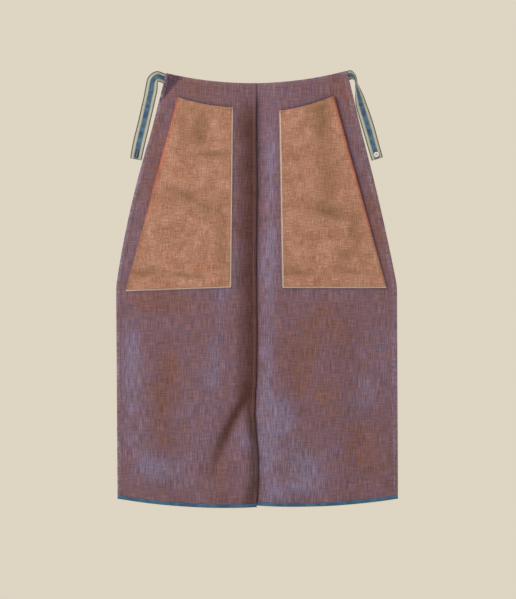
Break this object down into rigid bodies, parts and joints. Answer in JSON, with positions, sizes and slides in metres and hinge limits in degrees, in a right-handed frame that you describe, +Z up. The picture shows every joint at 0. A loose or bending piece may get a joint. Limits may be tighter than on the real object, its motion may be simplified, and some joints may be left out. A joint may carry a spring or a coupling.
{
  "type": "half apron",
  "caption": "Half apron of two front panels lapped at a centre seam, with patch pockets, a braided hem and two striped ties that button behind the wearer.",
  "frame": {"origin": "middle of the waist edge, on the face of the panels", "axes": "+Z up along the centre seam, -Y out of the front, +X to the right of someone who looks at the front"},
  "size_m": [0.592, 0.0268, 0.9185],
  "materials": {
    "apron_cloth": "plain-woven purple-brown cotton",
    "pocket_cloth": "plain-woven tan cotton",
    "hem_braid": "narrow blue woven braid",
    "striped_tape": "cream twill tape with a blue centre stripe and dark edges",
    "seam_thread": "greyish sewing thread",
    "pocket_thread": "pale sewing thread",
    "braid_thread": "blue sewing thread",
    "tape_thread": "cream sewing thread",
    "buttonhole_thread": "dark buttonhole twist",
    "button_shell": "polished white shirt button",
    "button_thread": "dark sewing thread"
  },
  "bodies": {
    "apron": {"left_front_panel": "apron_cloth", "right_front_panel": "apron_cloth", "centre_seam_thread": "seam_thread", "waist_hem_thread": "seam_thread", "left_side_hem_thread": "seam_thread", "right_side_hem_thread": "seam_thread", "left_hem_braid": "hem_braid", "left_hem_braid_thread": "braid_thread", "right_hem_braid": "hem_braid", "right_hem_braid_thread": "braid_thread", "left_pocket": "pocket_cloth", "left_pocket_thread": "pocket_thread", "right_pocket": "pocket_cloth", "right_pocket_thread": "pocket_thread", "left_tie_sewn_end": "striped_tape", "left_tie_anchor_thread": "tape_thread", "right_tie_sewn_end": "striped_tape", "right_tie_anchor_thread": "tape_thread"},
    "left_tie_upper": {"left_tie_upper": "striped_tape"},
    "left_tie_lower": {"left_tie_lower": "striped_tape", "left_tie_end_thread": "tape_thread", "buttonhole_thread": "buttonhole_thread"},
    "right_tie_upper": {"right_tie_upper": "striped_tape"},
    "right_tie_lower": {"right_tie_lower": "striped_tape", "right_tie_end_thread": "tape_thread"},
    "tie_button": {"tie_button": "button_shell", "button_thread": "button_thread"}
  },
  "joints": [
    {"name": "left_tie_swing", "type": "hinge", "parent": "apron", "child": "left_tie_upper", "pos_m": [-0.215, -0.0019, 0.01], "axis": [0, 1, 0], "range_deg": [-10, 100]},
    {"name": "left_tie_bend", "type": "hinge", "parent": "left_tie_upper", "child": "left_tie_lower", "pos_m": [-0.23463, -0.0019, -0.07783], "axis": [0.9759, 0, -0.2181], "range_deg": [-90, 90]},
    {"name": "right_tie_swing", "type": "hinge", "parent": "apron", "child": "right_tie_upper", "pos_m": [0.2065, -0.0019, 0.014], "axis": [0, -1, 0], "range_deg": [-10, 100]},
    {"name": "right_tie_bend", "type": "hinge", "parent": "right_tie_upper", "child": "right_tie_lower", "pos_m": [0.23104, -0.0019, -0.0757], "axis": [0.9646, 0, 0.2639], "range_deg": [-90, 90]},
    {"name": "button_turn", "type": "hinge", "parent": "right_tie_lower", "child": "tie_button", "pos_m": [0.25149, -0.0054, -0.15046], "axis": [0, -1, 0], "range_deg": [-40, 40]}
  ]
}
